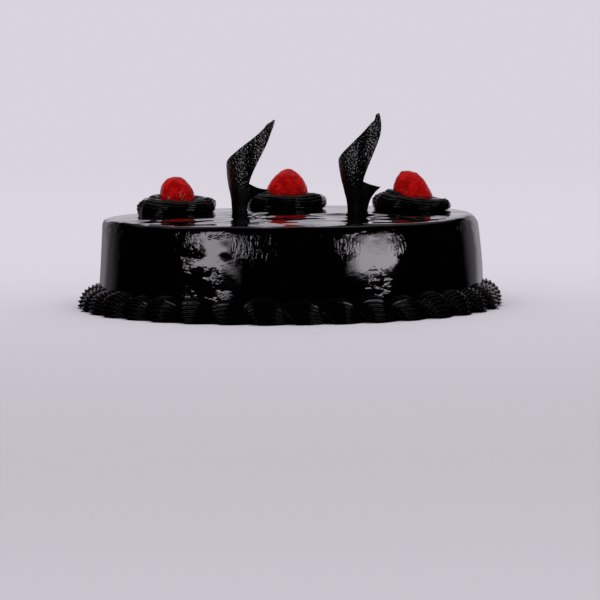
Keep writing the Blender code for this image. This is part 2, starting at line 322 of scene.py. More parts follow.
def sheet_finish(looks):
    """Set chocolate: a pale sheen on a fine bubbly grain higher up; smooth low down, with painted shade there."""
    made = Finish("sheet_bubbly", IOR=1.46, Specular_IOR_Level=0.80)
    made.mottle(looks.sheet, 0.004, 1.6)
    upper = made.step(made.axis(made.place, "Z"), 0.056, 0.072)
    made.vary("Roughness", 0.19 + 0.08 * made.noise(made.place, 0.0025) + 0.22 * (1 - upper))
    # Painted shade: low down the sheet is near-black metal, so its foot shows almost no reflection.
    made.vary("Metallic", 0.92 * (1 - upper))
    bubbles = 0.30 * made.cells(made.place, 0.0013) + 0.22 * made.noise(made.place, 0.0009, 0.0)
    made.relief((0.10 + 0.90 * upper) * bubbles)
    return made.material


def cherry_finish(looks):
    """Wet candied cherry: red flesh that light enters, darker and lighter in blotches, under a syrup gloss."""
    made = Finish("cherry_flesh", IOR=1.42, Specular_IOR_Level=0.22, Subsurface_Weight=0.25,
                  Subsurface_Scale=0.003, Subsurface_Radius=(1.0, 0.10, 0.08))
    blotches = made.step(made.noise(made.place, 0.0045, 3.0), 0.32, 0.70)
    dark = Vector(looks.cherry) * 0.72
    light = Vector((looks.cherry[0] * 1.22, looks.cherry[1] * 2.0, looks.cherry[2] * 1.5))
    made.vary("Base Color", made.mix(blotches, rgba(dark), rgba(light)))
    made.vary("Roughness", 0.05 + 0.12 * made.noise(made.place, 0.0015))
    made.relief(0.22 * made.cells(made.place, 0.0019) + 0.26 * made.noise(made.place, 0.0011))
    return made.material


def matt_finish(name):
    """A finish that reflects nothing sharp and can glow."""
    return Finish(name, Roughness=1.0, Specular_IOR_Level=0.0, Emission_Strength=1.0)


def paper_finish(stage):
    """Pale paper: lit by the room near the cake, and of one even brightness far from it. Near the cake its colour
    carries painted light: a little darker in front, lighter behind.
    """
    made = matt_finish("studio_paper")
    y = made.axis(made.place, "Y")
    reach = made.add("ShaderNodeVectorMath", {"operation": "LENGTH"}, {0: made.place}, out="Value")
    far = made.step(reach, 0.45, 1.9)
    # Painted light: the paper's colour is a little darker just in front of the cake and lighter towards the back.
    near_side = made.mix(made.step(y, -0.95, -0.60), rgba(stage.floor), rgba(Vector(stage.floor) * 0.93))
    floor = made.mix(made.step(y, -0.60, 0.40), near_side, rgba(Vector(stage.paper) / stage.room_light))
    made.vary("Base Color", made.mix(far, floor, BLACK))
    made.vary("Emission Color", made.mix(far, BLACK, rgba(stage.paper)))
    return made.material


def side_glow(made, stage, x, turned):
    """The glow beside and behind the cake, by the tangent of the angle from straight behind its side."""
    level = stage.side_glow * (0.62 + 0.38 * made.step(x, -0.1, 0.1))
    level = level * (0.40 + 0.35 * made.step(turned, 0.15, 0.55)) * (1 - 0.60 * made.step(turned, 0.54, 0.80))
    return level * (1 - made.step(turned, 0.80, 1.60))


def card_finish(stage):
    """The glow that mirrors show behind the cake: full above the horizon, dimmer below it, with soft sides."""
    made = matt_finish("card_glow")
    x, height = made.axis(made.place, "X"), made.axis(made.place, "Z")
    side = made.step(abs(x), 0.20, 0.36)
    middle = stage.card_below + (1 - stage.card_below) * made.step(height, -0.02, 0.12)
    turned = (abs(x) - SIDE_OF_CAKE) * (1 / CARD_PLACE)
    level = middle * (1 - side) + side_glow(made, stage, x, turned) * side
    made.glow(level * (1 - made.step(height, 0.30, 0.66)), stage.paper)
    return made.material


def glow_finish(stage):
    """The glow of the floor that mirrors show beside and behind the cake."""
    made = matt_finish("floor_glow")
    x, y = made.axis(made.place, "X"), made.axis(made.place, "Y")
    side = made.step(abs(x), 0.09, 0.17)
    turned = (abs(x) - SIDE_OF_CAKE) * (y + 0.02) ** -1
    level = stage.card_below * (1 - side) + side_glow(made, stage, x, turned) * side
    made.glow(level * made.step(y, 0.0, 0.10), stage.paper)
    return made.material


# Settings


class LooksSettings(bpy.types.PropertyGroup):
    """The colours of the cake's finishes."""

    glaze: bpy.props.FloatVectorProperty(
        name="Glaze", description="Colour of the mirror glaze", subtype="COLOR", min=0, max=1,
        default=(0.0006, 0.0004, 0.0004))
    piping: bpy.props.FloatVectorProperty(
        name="Piping", description="Colour of the piped ganache", subtype="COLOR", min=0, max=1,
        default=(0.0013, 0.0009, 0.0008))
    sheet: bpy.props.FloatVectorProperty(
        name="Sheet", description="Colour of the rolled chocolate", subtype="COLOR", min=0, max=1,
        default=(0.0010, 0.0008, 0.0008))
    cherry: bpy.props.FloatVectorProperty(
        name="Cherry", description="Colour of the cherries' flesh", subtype="COLOR", min=0, max=1,
        default=(0.50, 0.0028, 0.0034))


class BodySettings(bpy.types.PropertyGroup):
    """The sizes of the glazed body."""

    wall_radius: bpy.props.FloatProperty(
        name="Wall radius", description="Radius of the wall at its foot", default=0.1032, unit="LENGTH")
    wall_taper: bpy.props.FloatProperty(
        name="Wall taper", description="How far the wall leans in up to the shoulder", default=0.0024,
        unit="LENGTH")
    taper_power: bpy.props.FloatProperty(
        name="Taper power", description="Above 1, most of the taper is high on the wall", default=1.8)
    shoulder_height: bpy.props.FloatProperty(
        name="Shoulder height", description="Where the rounded shoulder starts", default=0.0420, unit="LENGTH")
    rim_height: bpy.props.FloatProperty(
        name="Rim height", description="Where the shoulder ends in the top", default=0.0485, unit="LENGTH")
    flat_radius: bpy.props.FloatProperty(
        name="Flat radius", description="Radius of the top inside the shoulder", default=0.0940, unit="LENGTH")
    crown_rise: bpy.props.FloatProperty(
        name="Crown rise", description="Height of the top's middle above its rim", default=0.0018, unit="LENGTH")
    rim_bead: bpy.props.FloatProperty(
        name="Rim bead", description="Height of the glaze's bead along the rim", default=0.00022, unit="LENGTH")
    top_lean: bpy.props.FloatProperty(
        name="Top lean", description="Rise of the top towards +X, per length", default=0.010)
    wall_wave: bpy.props.FloatProperty(
        name="Wall wave", description="Depth of the wall's slow undulations", default=0.00016, unit="LENGTH")
    top_wave: bpy.props.FloatProperty(
        name="Top wave", description="Depth of the top's undulations", default=0.00050, unit="LENGTH")
    sides: bpy.props.IntProperty(name="Sides", description="Points round the body", default=600)


class BorderSettings(bpy.types.PropertyGroup):
    """The sizes of the shells piped round the foot."""

    count: bpy.props.IntProperty(name="Shells", description="How many shells go round", default=36)
    width: bpy.props.FloatProperty(
        name="Width", description="How far a shell stands out from the wall", default=0.0103, unit="LENGTH")
    height: bpy.props.FloatProperty(
        name="Height", description="Height of a shell's head", default=0.0124, unit="LENGTH")
    ridge_count: bpy.props.IntProperty(
        name="Ridges", description="Ridges from the wall down to the floor", default=9)
    ridge_depth: bpy.props.FloatProperty(
        name="Ridge depth", description="Depth of the grooves on a head", default=0.0014, unit="LENGTH")


class NestSettings(bpy.types.PropertyGroup):
    """The sizes of the piped nests."""

    radius: bpy.props.FloatProperty(
        name="Nest radius", description="From a nest's middle to the middle of its rope", default=0.0152,
        unit="LENGTH")
    rope_half_width: bpy.props.FloatProperty(
        name="Rope half width", description="Half the width of the rope's lower turn", default=0.0062,
        unit="LENGTH")
    curl_radius: bpy.props.FloatProperty(
        name="Upper rope radius", description="Radius of the rope's upper stretch", default=0.0036,
        unit="LENGTH")
    curl_rise: bpy.props.FloatProperty(
        name="Upper rope rise", description="How far the upper stretch tops the lower turn", default=0.0013,
        unit="LENGTH")
    ridge_depth: bpy.props.FloatProperty(
        name="Ridge depth", description="Depth of the grooves along the rope", default=0.00040, unit="LENGTH")


class CherrySettings(bpy.types.PropertyGroup):
    """The shape of the cherries' skin."""

    seat: bpy.props.FloatProperty(
        name="Seat", description="A cherry's lowest point above the cake's top", default=0.0020, unit="LENGTH")
    dents: bpy.props.FloatProperty(
        name="Dents", description="Depth of the broad dents, as a share of the radius", default=0.10)
    wrinkles: bpy.props.FloatProperty(
        name="Wrinkles", description="Height of the skin's fine wrinkles", default=0.00035, unit="LENGTH")


class SailSettings(bpy.types.PropertyGroup):
    """The sizes of the rolled sheets of chocolate."""

    thickness: bpy.props.FloatProperty(
        name="Thickness", description="Thickness of the sheet", default=0.0014, unit="LENGTH")
    flare: bpy.props.FloatProperty(
        name="Flare", description="Share of its height over which the roll widens", default=0.55)
    spring: bpy.props.FloatProperty(
        name="Spring", description="How far the free corner behind springs out of the roll", default=0.0024,
        unit="LENGTH")
    bubble: bpy.props.FloatProperty(
        name="Bubbles", description="Height of the grain on the sheet", default=0.00010, unit="LENGTH")


class StageSettings(bpy.types.PropertyGroup):
    """The floor, the backdrop and the lights."""

    paper: bpy.props.FloatVectorProperty(
        name="Paper", description="Brightness and tint of the paper far from the cake", subtype="COLOR", min=0,
        max=1, default=(0.690, 0.652, 0.725))
    # Painted light: the paper in front of the cake is given a darker colour than the paper behind it.
    floor: bpy.props.FloatVectorProperty(
        name="Floor", description="Colour of the paper in front of the cake", subtype="COLOR", min=0, max=1,
        default=(0.690, 0.662, 0.725))
    room_light: bpy.props.FloatProperty(
        name="Room light", description="Light on the floor, where 1 shows its own colour", default=0.83)
    ambient: bpy.props.FloatProperty(
        name="Ambient", description="Share of the room light that comes from all sides", default=0.45)
    ceiling: bpy.props.FloatProperty(
        name="Ceiling", description="Brightness of the ceiling in reflections", default=0.50)
    side_glow: bpy.props.FloatProperty(
        name="Side glow", description="Brightness in reflections of what stands beside and behind the cake",
        default=1.30)
    card_below: bpy.props.FloatProperty(
        name="Card below", description="Brightness in reflections below the horizon, as a share", default=0.22)
    softbox_tint: bpy.props.FloatVectorProperty(
        name="Softbox tint", description="Tint of the softboxes", subtype="COLOR", min=0, max=1,
        default=(0.96, 0.92, 1.0))
    left_softbox: bpy.props.FloatProperty(
        name="Left softbox", description="Brightness in reflections, where white paper is 1", default=8.0)
    right_softbox: bpy.props.FloatProperty(
        name="Right softbox", description="Brightness in reflections, where white paper is 1", default=9.6)


# The glazed body

WALL_ROWS = 52
SHOULDER_ROWS = 39
TOP_ROWS = 56
WALL_REACH = 0.102  # the radius at which the places of the wall's glaze lie
# Dents of the wall: degrees from the side that faces the camera towards +X, height, reach sideways, reach up and
# down, and depth, which is below 0 for a bulge
WALL_DENTS = [
    (-28, 0.0420, 0.0062, 0.0095, -0.00045),
    (-30.5, 0.0335, 0.0050, 0.0045, 0.00022),
    (-29, 0.0285, 0.0080, 0.0040, -0.00020),
    (-19, 0.0375, 0.0035, 0.0035, -0.00018),
    (34, 0.0335, 0.0045, 0.0060, -0.00032),
    (11, 0.0350, 0.0060, 0.0070, 0.00025),
]
# Swells of the top: x, y, reach, height
TOP_SWELLS = [(-0.058, -0.018, 0.030, 0.0009), (-0.008, 0.004, 0.026, 0.0008), (0.072, -0.078, 0.045, -0.0011)]
# Where the top's glaze is ruffled in front of a sail: x, y
RUFFLES = [(-0.021, -0.032), (0.038, -0.034)]
RUFFLE_REACH = (0.017, 0.034)
RUFFLE_HEIGHT = 0.00110
# Where the top lies calmer than elsewhere: x, y, and its reach along both
CALM_PLACE = (0.066, -0.050)
CALM_REACH = (0.026, 0.040)
# Places of the glaze: degrees as above, height, reach
GLAZE_RUNS = [(-9, 0.0390, 0.018), (16, 0.0385, 0.010), (33, 0.0385, 0.008), (-29, 0.0380, 0.009)]
GLAZE_CRUMPLES = [(-22.5, 0.0235, 0.007), (-29, 0.0120, 0.008), (-19, 0.0110, 0.007), (-31, 0.0285, 0.007),
                  (26, 0.0165, 0.010), (25, 0.0235, 0.006)]


def lean(body, x, z):
    """A height once the cake leans: unchanged at the foot, and by the whole lean at the rim."""
    return z * (1 + body.top_lean * x / body.rim_height)


def wall_radius(body, angle, z):
    """The wall's radius under the shoulder, with the slow waves of a hand-spread wall."""
    t = np.minimum(z / body.shoulder_height, 1.0)
    uneven = 0.00030 * np.sin(2 * angle + 0.7) + 0.00022 * np.sin(4 * angle + 2.1)
    return body.wall_radius - body.wall_taper * t**body.taper_power + uneven * (1 + t) / 2


def crown_height(body, r):
    return body.rim_height + body.crown_rise * (1 - (r / body.flat_radius) ** 2)


def top_height(body, x, y):
    """The height of the cake's top inside the shoulder, before its ripples."""
    return lean(body, x, crown_height(body, np.hypot(x, y)))


def body_rings(body):
    """Rings from the foot of the wall to the middle of the top."""
    angles = 2 * np.pi * np.arange(body.sides) / body.sides
    steps = np.linspace(0, 1, SHOULDER_ROWS + 1)[1:]
    shoulder_turns = np.pi / 2 * steps**2 / (steps**2 + (1 - steps) ** 2)
    rings = []
    for level in np.linspace(0, 1, WALL_ROWS):
        z = np.full(body.sides, level * body.shoulder_height)
        rings.append((wall_radius(body, angles, z), z))
    power = between(4.0 - 1.8 * np.cos(angles), 7.0, ease((-np.sin(angles) - 0.10) / 0.45))
    for turn in shoulder_turns:
        out, up = math.cos(turn) ** (2 / power), math.sin(turn) ** (2 / power)
        reach = wall_radius(body, angles, np.full(body.sides, body.shoulder_height)) - body.flat_radius
        rise = body.rim_height - body.shoulder_height
        slope = body.wall_taper * body.taper_power / body.shoulder_height
        z = body.shoulder_height + rise * up
        rings.append((body.flat_radius + (reach - slope * rise) * out + slope * (body.rim_height - z), z))
    for share in np.linspace(1, 0, TOP_ROWS + 2)[1:-1]:
        r = np.full(body.sides, share * body.flat_radius)
        rings.append((r, crown_height(body, r)))
    r = np.array([ring[0] for ring in rings])
    z = np.array([ring[1] for ring in rings])
    bead_place, bead_width = body.flat_radius + 0.0006, 0.0028
    z += body.rim_bead * np.exp(-(((r - bead_place) / bead_width) ** 2)) * (z > body.shoulder_height)
    return np.stack([r * np.cos(angles), r * np.sin(angles), z], axis=-1)


def mound(x, y, place, reach):
    """1 at a place of the top, fading to 0 all round it."""
    return np.exp(-(((x - place[0]) / reach[0]) ** 2) - ((y - place[1]) / reach[1]) ** 2)


def rippled(body, points):
    """The body's points pushed out and in by slow undulations of the glaze."""
    x, y, z = points[..., 0], points[..., 1], points[..., 2]
    r = np.hypot(x, y)
    top = ease((z - body.shoulder_height) / (body.rim_height - body.shoulder_height))
    level = ease(z / 0.004)
    wall = 0.75 * grain(points, 0.019, 3.1) + 0.35 * grain(points * (1, 1, 0.35), 0.0085, 7.7)
    wave = body.wall_wave * wall * level * (1 - top)
    angle = np.arctan2(y, x)
    for place, height, width, tall, depth in WALL_DENTS:
        away = (angle - math.radians(place - 90) + np.pi) % (2 * np.pi) - np.pi
        wave = wave - depth * level * np.exp(-((away * r / width) ** 2) - ((z - height) / tall) ** 2)
    out = points.copy()
    bulge = 0.0006 * np.sin(np.pi * np.clip(z / body.rim_height, 0, 1))
    out[..., 0] = x + x / np.maximum(r, 1e-6) * wave + bulge * (1 - top)
    out[..., 1] = y + y / np.maximum(r, 1e-6) * wave
    flat = points * (0.5, 1, 0)
    ripple = grain(flat, 0.016, 5.3) + 0.28 * grain(flat, 0.0070, 9.2) + 0.08 * grain(flat, 0.0035, 1.7)
    nearer = 1 + 0.6 * ease((0.010 - y) / 0.03)
    calm = 0.75 * mound(x, y, CALM_PLACE, CALM_REACH)
    lift = body.top_wave * nearer * ripple * (1 - calm)
    for place_x, place_y, reach, height in TOP_SWELLS:
        lift = lift + height * np.exp(-((x - place_x) ** 2 + (y - place_y) ** 2) / reach**2)
    for place in RUFFLES:
        around = mound(x, y, place, RUFFLE_REACH)
        lift = lift + RUFFLE_HEIGHT * around * grain(points * (1, 0.7, 0), 0.0085, 6.1)
    out[..., 2] = lean(body, x, z) + lift * top
    return out


class CAKE_OT_body(bpy.types.Operator):
    """Models the glazed body: wall, rounded shoulder and rippled top"""

    bl_idname = "cake.body"
    bl_label = "Glazed body"

    def execute(self, context):
        body = context.scene.cake_body
        rings = rippled(body, body_rings(body))
        piece = shape("glazed_body", *tube(rings), glaze_finish(context.scene.cake_looks))
        place_piece(piece, "cake_body")
        return {"FINISHED"}


# The piped border

SHELL_STEPS = 38
SHELL_PROFILE = 64
SHELL_OVERLAP = 1.32  # a shell's length, as a share of its pitch
SHELL_BACK = 0.0012  # how far a shell reaches back into the wall
SHELL_SPAN = (97, -12)  # degrees of a section, from the wall over its crest and out to the floor
SHELL_SHIFT = 0.02  # how far the ring of shells is turned, as a share of its pitch


def shell_rings(border, size, seed):
    """One piped shell, as sections from the base of its head to the end of its tail.

    It is laid out flat first: s along the wall, out from the wall, and z. The path starts straight up under the
    head, bends over and runs down into the tail. A section stands square to the path.
    """
    pitch = 2 * math.pi * (bpy.context.scene.cake_body.wall_radius + 0.4 * border.width) / border.count
    length = pitch * SHELL_OVERLAP
    t = np.linspace(0, 1, SHELL_STEPS)
    head = 0.36 * length
    tilt = np.radians(90) * (1 - ease(t / 0.42)) - np.radians(9) * ease((t - 0.5) / 0.5)
    swell = 0.55 + 0.45 * ease(t / 0.30)
    swell *= 1 - 0.62 * ease((t - 0.40) / 0.60) ** 0.85
    along = head * ease(t / 0.45) * 0.30 + (length - 0.30 * head) * np.clip((t - 0.22) / 0.78, 0, 1) ** 1.1
    middle = 0.12 * border.height * np.minimum(t / 0.2, 1.0)
    first, last = (math.radians(degrees) for degrees in SHELL_SPAN)
    turn = np.linspace(first, last, SHELL_PROFILE)
    crest = ridges(turn - first, 2 * math.pi / (first - last) * border.ridge_count)
    rings = []
    for i in range(SHELL_STEPS):
        groove = border.ridge_depth * size * (0.35 + 0.65 * swell[i]) * (crest - 0.55)
        out = (border.width * size * swell[i] + groove) * np.cos(turn)
        up = (border.height * size * swell[i] - middle[i] + groove) * np.sin(turn)
        s = along[i] - up * math.sin(tilt[i])
        z = middle[i] + up * math.cos(tilt[i])
        ring = np.stack([s, out, z], axis=-1)
        inner = np.array([[s[-1], -SHELL_BACK, z[-1]], [s[0], -SHELL_BACK, z[0]]])
        rings.append(np.concatenate([ring, inner]))
    rings = np.array(rings)
    wobble = grain(rings + seed * 0.37, 0.006) * 0.00030 * size
    rings[..., 1] += wobble
    rings[..., 2] = np.maximum(rings[..., 2] + wobble, 0.0)
    return rings


def round_the_foot(body, laid, angle):
    """Points laid out along a straight wall, bent round the foot of the cake from an angle on."""
    reach = wall_radius(body, angle, laid[..., 2]) + laid[..., 1]
    turn = angle + laid[..., 0] / (body.wall_radius + 0.004)
    x, y = reach * np.cos(turn), reach * np.sin(turn)
    return np.stack([x, y, lean(body, x, laid[..., 2])], axis=-1)


class CAKE_OT_border(bpy.types.Operator):
    """Pipes the ridged shells round the foot, each head over the last tail"""

    bl_idname = "cake.border"
    bl_label = "Shell border"

    def execute(self, context):
        body, border = context.scene.cake_body, context.scene.cake_border
        shells = []
        for i in range(border.count):
            angle = 2 * math.pi * (i + SHELL_SHIFT) / border.count
            size = 1 + 0.045 * math.sin(2.4 * (i % (border.count // 2)) + 1)
            shells.append(tube(round_the_foot(body, shell_rings(border, size, i), angle)))
        piece = shape("piped_border", *joined(shells), piping_finish(context.scene.cake_looks))
        place_piece(piece, "shell_border")
        return {"FINISHED"}


# The nests


class Nest(NamedTuple):
    """One piped nest: where it stands, how its rope rises towards one side and how much wider it is than usual."""

    place: tuple
    high_side: float
    crest: float
    rise: float
    seed: int
    wider: float = 0.0

    def crest_at(self, angle):
        """The height of the lower turn above the cake's top."""
        wave = 1 + 0.03 * np.sin(3 * angle + self.high_side)
        return (self.crest + self.rise * np.cos(angle - self.high_side)) * wave


NESTS = {
    "left": Nest((-0.0611, 0.0080), math.radians(130), 0.0091, 0.0009, 1),
    "middle": Nest((-0.0016, 0.0370), math.radians(150), 0.0086, 0.0003, 2, wider=0.0010),
    "right": Nest((0.0668, 0.0200), math.radians(170), 0.0080, 0.0018, 3),
}
ROPE_STEPS = 330
ROPE_PROFILE = 120
ROPE_RIDGES = 15
UPPER_TURN = math.radians(220)
CLIMB_TURN = math.radians(55)
START_TURN = math.radians(40)
TAIL_TURN = math.radians(52)
SPIKE_TURN = math.radians(22)


def rope_rings(settings, nest):
    """The nest's rope: a whole lower turn, a climb over its own start and an upper stretch with a pulled tail."""
    whole = 2 * math.pi + UPPER_TURN
    turn = np.linspace(0, whole, ROPE_STEPS)
    angle = nest.high_side - UPPER_TURN / 2 + turn
    climb = ease((turn - 2 * math.pi + 0.25) / CLIMB_TURN)
    start = 0.25 + 0.75 * ease(turn / START_TURN)
    tail = 1 - 0.85 * ease((turn - whole + TAIL_TURN) / TAIL_TURN) ** 0.8
    crest = nest.crest_at(angle)
    low_height = 0.54 * crest
    half_width = between(settings.rope_half_width, settings.curl_radius, climb) * start * tail
    half_height = between(low_height, settings.curl_radius, climb) * start * tail
    reach = settings.radius + nest.wider - 0.0028 * climb
    spike = ease((turn - whole + SPIKE_TURN) / SPIKE_TURN)
    middle = between(crest - low_height, crest + settings.curl_rise - settings.curl_radius, climb) + 0.0016 * spike
    reach = reach + 0.0012 * spike
    profile = 2 * np.pi * np.arange(ROPE_PROFILE) / ROPE_PROFILE
    rings = []
    for i in range(ROPE_STEPS):
        drift = 0.22 * math.sin(1.3 * turn[i] + nest.seed) + 0.10 * turn[i]
        crest_line = np.abs(np.cos((profile + drift) * ROPE_RIDGES / 2)) ** 0.75
        groove = settings.ridge_depth * (crest_line - 0.55) * half_width[i] / settings.rope_half_width
        cosine, sine = np.cos(profile), np.sin(profile)
        roundness = between(0.36, 1.0, ease(0.5 + 0.5 * math.cos(angle[i])))
        full = np.sign(cosine) * np.abs(cosine) ** np.where(sine < 0, roundness, 0.85)
        side = (half_width[i] + groove) * full
        up = (half_height[i] + groove) * sine
        r = reach[i] + side
        rings.append(np.stack([r * math.cos(angle[i]), r * math.sin(angle[i]), middle[i] + up], axis=-1))
    rings = np.array(rings)
    wobble = grain(rings + nest.seed * 0.21, 0.0075) * 0.00080 + grain(rings + nest.seed, 0.0030) * 0.00012
    spread = 1 + wobble / settings.radius
    rings[..., 0] *= spread
    rings[..., 1] *= spread
    rings[..., 2] = np.maximum(rings[..., 2] + wobble, 0.0)
    return rings


def on_top(body, points, place):
    """Points modelled over the origin, set on the cake's top so that each is as high as the cake under it."""
    x, y = points[..., 0] + place[0], points[..., 1] + place[1]
    return np.stack([x, y, points[..., 2] + top_height(body, x, y)], axis=-1)


class CAKE_OT_nests(bpy.types.Operator):
    """Pipes the three ridged nests on the cake's top"""

    bl_idname = "cake.nests"
    bl_label = "Piped nests"

    def execute(self, context):
        body, settings = context.scene.cake_body, context.scene.cake_nests
        finish = piping_finish(context.scene.cake_looks)
        for side, nest in NESTS.items():
            rings = on_top(body, rope_rings(settings, nest), nest.place)
            piece = shape("piped_nest_" + side, *tube(rings), finish)
            place_piece(piece, "nest_" + side)
        return {"FINISHED"}


# The cherries


class Cherry(NamedTuple):
    """One candied cherry, a dome over a rounded foot.

    Below its widest level it is half an ellipsoid. Above, it narrows as a superellipse: a power of 2 is round,
    and a lower one is more pointed. Its top is cut at a slant and shifted sideways.
    """

    radius: float
    widest: float
    top: float
    power: float
    cut: float
    slant: float
    shift: float
    seed: int

    @property
    def dome(self):
        """The height of the uncut dome over the widest level."""
        return (self.top - self.widest) / self.cut


CHERRIES = {
    "left": Cherry(0.0094, 0.0084, 0.0205, power=2.0, cut=0.97, slant=0.10, shift=-0.0009, seed=3),
    "middle": Cherry(0.0113, 0.0080, 0.0222, power=1.7, cut=0.99, slant=0.0, shift=0.0008, seed=7),
    "right": Cherry(0.0111, 0.0076, 0.0206, power=1.5, cut=0.84, slant=0.14, shift=-0.0022, seed=11),
}
CHERRY_SIDES = 110
CHERRY_LEVELS = 72
CHERRY_DENT = 0.0077  # the size of a cherry's broad dents
CHERRY_CREASE = 0.0032  # the size of its creases


def cherry_rings(settings, fruit):
    """The cherry's skin over the origin, as rings from its top down."""
    down = np.linspace(0.02, math.pi - 0.02, CHERRY_LEVELS)[:, None]
    around = (2 * np.pi * np.arange(CHERRY_SIDES) / CHERRY_SIDES)[None, :]
    below = down > math.pi / 2
    level = np.abs(np.cos(down))
    r = fruit.radius * np.where(below, np.sin(down), np.sin(down) ** (2 / fruit.power))
    rise = np.where(below, -(fruit.widest - settings.seat) * level, fruit.dome * level ** (2 / fruit.power))
    x, y = r * np.cos(around), r * np.sin(around)
    z = np.broadcast_to(fruit.widest + rise, x.shape).copy()
    seeded = np.stack([x, y, z], axis=-1) / CHERRY_DENT + np.array([fruit.seed, 0, 0])
    stretch = 1 + settings.dents * grain(seeded, 1.0)
    ceiling = fruit.widest + fruit.dome * fruit.cut - fruit.slant * x
    z = np.where(z > ceiling, ceiling + 0.25 * (z - ceiling), z)
    lift = np.maximum(z - fruit.widest, 0.0) / fruit.dome
    points = np.stack([x * stretch + fruit.shift * lift, y * stretch, z], axis=-1)
    middle = np.array([0, 0, fruit.widest])
    way = points - middle
    way /= np.linalg.norm(way, axis=-1, keepdims=True)
    creases = -np.abs(grain(points * (1, 1, 0.55), CHERRY_CREASE, fruit.seed)) + 0.35
    wrinkles = settings.wrinkles * (creases + 0.5 * grain(points, CHERRY_CREASE / 2, fruit.seed + 5))
    return points + way * wrinkles[..., None]


class CAKE_OT_cherries(bpy.types.Operator):
    """Presses a candied cherry into each nest"""

    bl_idname = "cake.cherries"
    bl_label = "Cherries"

    def execute(self, context):
        body, settings = context.scene.cake_body, context.scene.cake_cherries
        finish = cherry_finish(context.scene.cake_looks)
        for side, fruit in CHERRIES.items():
            rings = on_top(body, cherry_rings(settings, fruit), NESTS[side].place)
            piece = shape("candied_cherry_" + side, *tube(rings[::-1]), finish)
            place_piece(piece, "cherry_" + side)
        return {"FINISHED"}


# The sails


class Sail(NamedTuple):
    """One rolled sheet of chocolate.

    The flat sheet is a triangle with its foot cut off. Its edges are given by points of (angle round the roll in
    degrees, share of the height): front and back from the foot up, and top from the back corner to the tip.
    Angle 0 faces the camera, and negative angles run to the left and on round the back.
    """

    place: tuple
    foot_radius: float
    roll_radius: float
    height: float
    front: list
    back: list
    top: list


SAILS = {
    "left": Sail(
        (-0.0207, -0.0020), 0.0097, 0.0125, 0.0500,
        front=[(-15, 0), (-5, 0.31), (14, 0.52), (47, 0.776), (64, 0.90), (84, 0.998)],
        back=[(-165, 0), (-172, 0.11), (-198, 0.19), (-230, 0.242)],
        top=[(-230, 0.242), (-187, 0.282), (-90, 0.530), (-42, 0.656), (-4, 0.778), (20, 0.855),
             (38, 0.914), (52, 0.963), (84, 0.998)],
    ),
    "right": Sail(
        (0.0391, -0.0030), 0.0074, 0.0121, 0.0530,
        front=[(-13, 0), (0, 0.30), (20, 0.53), (47, 0.76), (53, 0.88), (46, 1)],
        back=[(-200, 0), (-208, 0.11), (-222, 0.195), (-238, 0.242)],
        top=[(-238, 0.242), (-187, 0.295), (-90, 0.512), (-44, 0.640), (-8, 0.775), (23, 0.900),
             (33, 0.931), (37, 0.961), (39, 0.990), (46, 1)],
    ),
}
SAIL_COLUMNS = 150
SAIL_ROWS = 110
SAIL_EDGE = 0.0006  # the sheet's edges are rounded over this length
SPRING_START = -180  # degrees round the roll from which the free corner springs out
SPRING_TURN = 50


def sheet_grid(sail):
    """Angles and shares of the height over the flat sheet, a Coons patch between its four edges."""
    s, t = np.linspace(0, 1, SAIL_COLUMNS), np.linspace(0, 1, SAIL_ROWS)
    front, back, top = smooth_path(sail.front, t), smooth_path(sail.back, t), smooth_path(sail.top, s)
    s, t = s[:, None, None], t[None, :, None]
    chord = between(np.array(sail.top[0], float), np.array(sail.top[-1], float), s)
    patch = between(back[None], front[None], s) + (top[:, None] - chord) * t
    return patch[..., 0], patch[..., 1]


def rolled(sail, settings, body, angle, share, off):
    """Points of the rolled sheet, off its middle surface by a distance."""
    radius = between(sail.foot_radius, sail.roll_radius, ease(share / settings.flare))
    radius = radius + settings.spring * ease((SPRING_START - angle) / SPRING_TURN) + off
    way = np.radians(angle)
    x = sail.place[0] + radius * np.sin(way)
    y = sail.place[1] - radius * np.cos(way)
    return np.stack([x, y, share * sail.height + top_height(body, x, y)], axis=-1)


def sail_rings(sail, settings, body):
    """Rings round the sheet, one for each column: up its outer side and down its inner side."""
    angle, share = sheet_grid(sail)
    middle = rolled(sail, settings, body, angle, share, 0.0)
    across = np.linalg.norm(np.diff(middle, axis=0), axis=-1).mean() * (SAIL_COLUMNS - 1)
    up = np.linalg.norm(np.diff(middle, axis=1), axis=-1).mean() * (SAIL_ROWS - 1)
    s = np.linspace(0, 1, SAIL_COLUMNS)[:, None]
    t = np.linspace(0, 1, SAIL_ROWS)[None, :]
    from_edge = np.minimum(np.minimum(s, 1 - s) * across, (1 - t) * up)
    roundness = np.clip(from_edge / SAIL_EDGE, 0, 1)
    half = settings.thickness / 2 * (0.25 + 0.75 * np.sqrt(1 - (1 - roundness) ** 2))
    warp = 0.00035 * grain(middle, 0.014, 4.4) * ease(share / 0.2)
    bubbles = settings.bubble * (grain(middle, 0.0012, 2.2) + 0.6 * grain(middle, 0.0006, 8.8)) * roundness
    outside = rolled(sail, settings, body, angle, share, half + warp + bubbles)
    inside = rolled(sail, settings, body, angle, share, -half + warp)
    return np.concatenate([outside, inside[:, ::-1]], axis=1)


class CAKE_OT_sails(bpy.types.Operator):
    """Stands the two rolled sheets of chocolate on the cake's top"""

    bl_idname = "cake.sails"
    bl_label = "Chocolate sails"

    def execute(self, context):
        body, settings = context.scene.cake_body, context.scene.cake_sails
        finish = sheet_finish(context.scene.cake_looks)
        for side, sail in SAILS.items():
            piece = shape("chocolate_sail_" + side, *thin_tube(sail_rings(sail, settings, body)), finish)
            place_piece(piece, "sail_" + side)
        return {"FINISHED"}


# The stage

